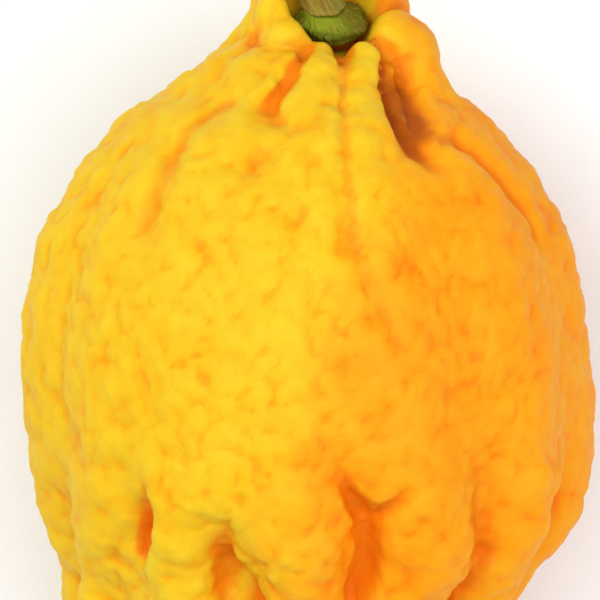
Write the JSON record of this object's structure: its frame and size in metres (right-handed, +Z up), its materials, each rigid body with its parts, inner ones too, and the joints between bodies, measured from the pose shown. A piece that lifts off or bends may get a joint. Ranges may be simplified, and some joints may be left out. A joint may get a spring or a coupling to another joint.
{
  "type": "buddhas hand citron",
  "caption": "Ripe closed-hand citron fruit lying on its back: a bumpy ribbed belly that parts into curling fingers, with a green calyx and a short cut stem in the hollow of the neck.",
  "frame": {"origin": "middle of the bounding box in plan, at the height of the surface the fruit lies on", "axes": "+Z up, +Y along the fruit from the fingertips towards the stem, +X to the right of the side that faces up"},
  "size_m": [0.0952, 0.1696, 0.0872],
  "materials": {
    "rind": "satin, bumpy citrus rind",
    "calyx": "matte green",
    "stem": "matte bark with a pale cut end"
  },
  "bodies": {
    "root": {"fruit": "rind", "calyx": "calyx", "stem": "stem"}
  },
  "joints": []
}
